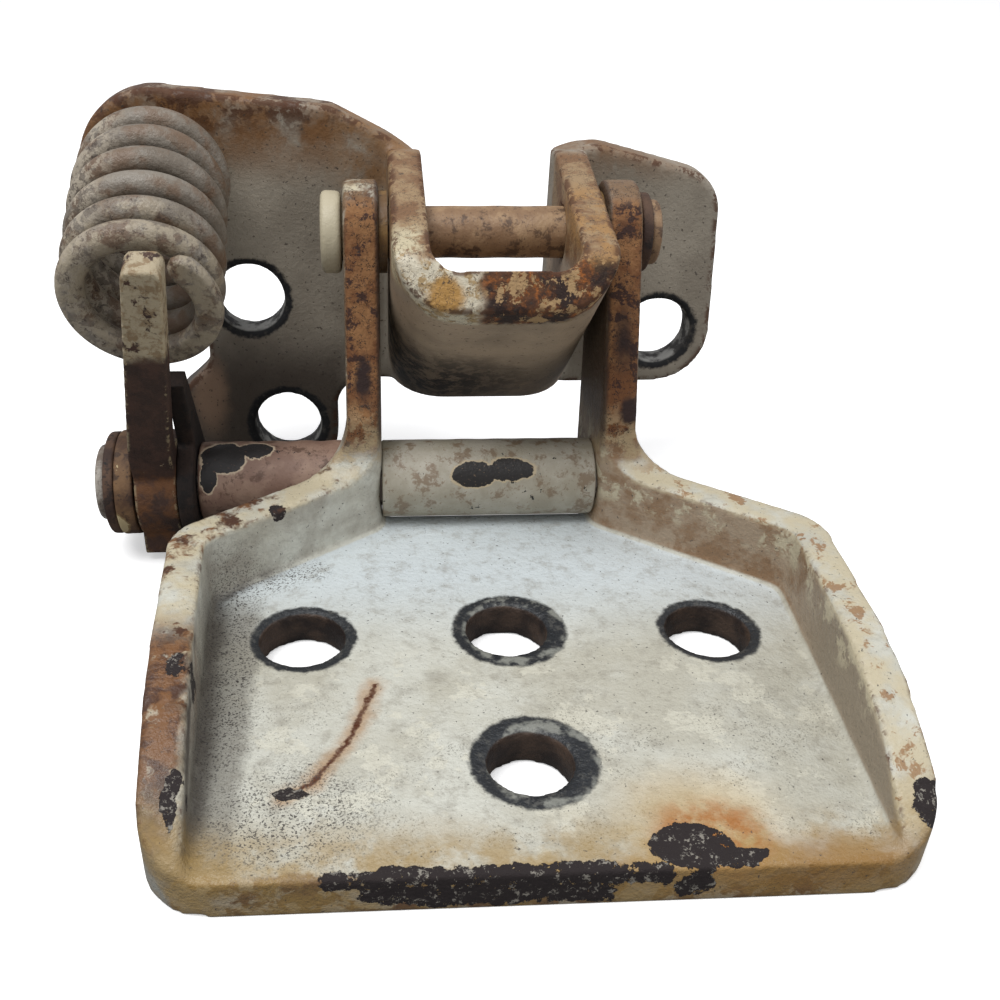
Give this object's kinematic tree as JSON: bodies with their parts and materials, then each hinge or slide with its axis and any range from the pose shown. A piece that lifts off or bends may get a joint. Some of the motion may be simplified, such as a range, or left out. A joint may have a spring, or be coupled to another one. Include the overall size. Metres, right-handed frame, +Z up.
{
  "type": "door hinge",
  "caption": "Pressed steel door hinge with a sprung check lever beside it, standing open at a right angle, in chipped and rusted cream paint.",
  "frame": {"origin": "midway between the two outer bolt holes of the door plate, on its mounting face", "axes": "+X along the hinge pin to the right, +Y from the door plate towards the body plate, +Z up from the door face"},
  "size_m": [0.115, 0.109, 0.0689],
  "materials": {
    "door_paint": "chipped cream paint over rusted pressed steel",
    "body_paint": "grey-beige paint, rusted through along the folds",
    "pin_steel": "dull steel stained brown",
    "tube_paint": "thin grey-cream paint, dark where it has chipped",
    "sleeve_paint": "pinkish brown stained paint, chipped to black",
    "lever_steel": "dark rust brown with cream paint left on it",
    "spring_paint": "grey paint worn off the outside of the coils",
    "plate_steel": "dark brown rusted steel",
    "bush_bronze": "plain bearing bronze"
  },
  "bodies": {
    "door_leaf": {"door_plate": "door_paint", "pin_bush_left": "bush_bronze", "pin_bush_right": "bush_bronze", "cross_pin": "pin_steel", "cross_tube": "tube_paint", "spacer_sleeve": "sleeve_paint", "thrust_collar": "lever_steel", "end_washer": "plate_steel"},
    "body_leaf": {"body_plate": "body_paint", "hinge_pin": "pin_steel", "pin_washer": "plate_steel", "coil_spring": "spring_paint", "spring_stud": "pin_steel"},
    "lever": {"check_lever": "lever_steel", "lever_bush": "bush_bronze", "backing_plate": "plate_steel"}
  },
  "joints": [
    {"name": "door_hinge", "type": "hinge", "parent": "door_leaf", "child": "body_leaf", "pos_m": [0, 0.0455, 0.0503], "axis": [1, 0, 0], "range_deg": [0, 90], "deforming": ["coil_spring"]},
    {"name": "lever_pivot", "type": "hinge", "parent": "door_leaf", "child": "lever", "pos_m": [-0.0534, 0.0345, 0.012], "axis": [1, 0, 0], "range_deg": [0, 22.5]}
  ],
  "couplings": [
    {"joint": "lever_pivot", "follows": "door_hinge", "ratio": 0.25}
  ]
}
